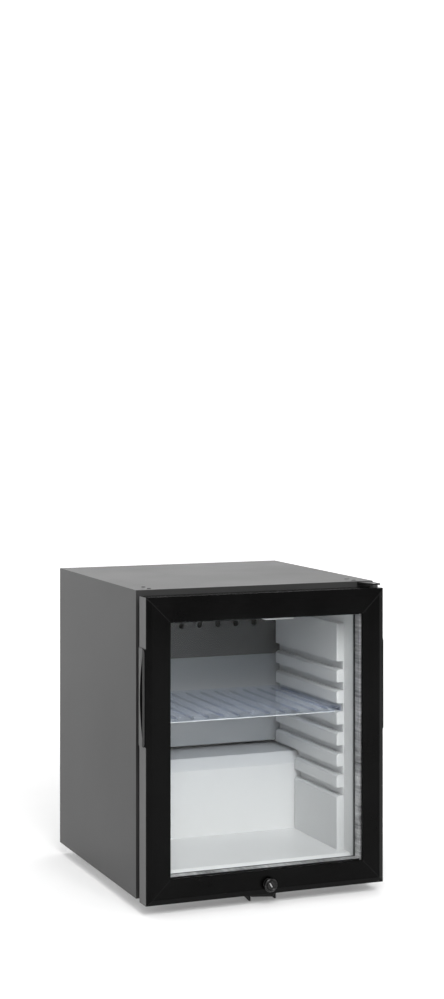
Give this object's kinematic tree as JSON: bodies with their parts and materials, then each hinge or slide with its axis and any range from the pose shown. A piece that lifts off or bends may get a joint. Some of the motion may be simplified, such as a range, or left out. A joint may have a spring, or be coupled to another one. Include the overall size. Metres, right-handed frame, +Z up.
{
  "type": "minibar fridge",
  "caption": "Small cube-shaped minibar fridge with a hinged double-glazed door in a mitred frame, finger grips, a cam lock, a sliding shelf in side runners and a rear condenser.",
  "frame": {"origin": "on the ground, in the middle of the overall outline", "axes": "+Z up, the door faces -Y, +X to the right of someone facing the door"},
  "size_m": [0.41, 0.4614, 0.5015],
  "materials": {
    "cabinet_steel": "satin",
    "dark_steel": "satin",
    "zinc_steel": "satin",
    "foam": "rough",
    "liner_plastic": "semi gloss",
    "runner_plastic": "semi gloss",
    "clear_shelf": "clear gloss",
    "cover_plastic": "gloss",
    "evaporator_metal": "satin",
    "control_plastic": "matte",
    "lens_plastic": "frosted",
    "dial_plastic": "matte",
    "frame_black": "gloss",
    "door_glass": "clear",
    "spacer_metal": "satin",
    "frame_inner": "matte",
    "seal_rubber": "matte",
    "grip_plastic": "satin",
    "lock_metal": "polished",
    "pin_steel": "satin",
    "bush_plastic": "matte",
    "foot_rubber": "matte",
    "compressor_paint": "semi gloss",
    "copper": "bright",
    "tray_plastic": "matte"
  },
  "bodies": {
    "cabinet": {"outer_shell": "cabinet_steel", "base_pan": "zinc_steel", "rear_panel": "dark_steel", "compressor_step": "zinc_steel", "foam_insulation": "foam", "inner_liner": "liner_plastic", "shelf_runner_left": "runner_plastic", "shelf_runner_right": "runner_plastic", "evaporator_cover": "cover_plastic", "evaporator_plate": "evaporator_metal", "control_housing": "control_plastic", "lamp_lens": "lens_plastic", "upper_hinge_plate": "dark_steel", "lower_hinge_plate": "dark_steel", "upper_hinge_pin": "pin_steel", "lower_hinge_pin": "pin_steel", "hinge_screws": "zinc_steel", "hinge_hole_plugs": "bush_plastic", "lock_keeper": "dark_steel", "keeper_screws": "zinc_steel", "foot_front_left": "foot_rubber", "foot_front_right": "foot_rubber", "foot_rear_left": "foot_rubber", "foot_rear_right": "foot_rubber", "compressor_shell": "compressor_paint", "compressor_base": "zinc_steel", "compressor_grommets": "seal_rubber", "terminal_cover": "tray_plastic", "drip_tray": "tray_plastic", "drain_tube": "tray_plastic", "discharge_tube": "copper", "suction_tube": "copper", "capillary_tube": "copper", "condenser": "dark_steel", "condenser_brackets": "bush_plastic", "filter_drier": "copper", "rear_grille": "dark_steel", "grille_screws": "zinc_steel", "mains_inlet": "tray_plastic"},
    "door": {"door_rail_top": "frame_black", "door_rail_bottom": "frame_black", "door_stile_left": "frame_black", "door_stile_right": "frame_black", "outer_glass": "door_glass", "inner_glass": "door_glass", "glass_spacer": "spacer_metal", "door_back_frame": "frame_inner", "door_gasket": "seal_rubber", "handle_grip_left": "grip_plastic", "handle_grip_right": "grip_plastic", "upper_hinge_bush": "bush_plastic", "lower_hinge_bush": "bush_plastic", "lock_housing": "lock_metal", "lock_nut": "pin_steel"},
    "lock": {"lock_plug": "lock_metal", "lock_cam": "pin_steel", "cam_screw": "zinc_steel"},
    "shelf": {"shelf": "clear_shelf"},
    "dial": {"thermostat_dial": "dial_plastic"}
  },
  "joints": [
    {"name": "door_hinge", "type": "hinge", "parent": "cabinet", "child": "door", "pos_m": [0.193, -0.20275, 0.25], "axis": [0, 0, 1], "range_deg": [0, 100]},
    {"name": "lock_turn", "type": "hinge", "parent": "door", "child": "lock", "pos_m": [0, -0.198, 0.0344], "axis": [0, 1, 0], "range_deg": [0, 90]},
    {"name": "shelf_slide", "type": "slide", "parent": "cabinet", "child": "shelf", "axis": [0, -1, 0], "range_m": [0, 0.04]},
    {"name": "thermostat_turn", "type": "hinge", "parent": "cabinet", "child": "dial", "pos_m": [0.088, -0.08, 0.446], "axis": [0, 1, 0], "range_deg": [0, 270]}
  ]
}
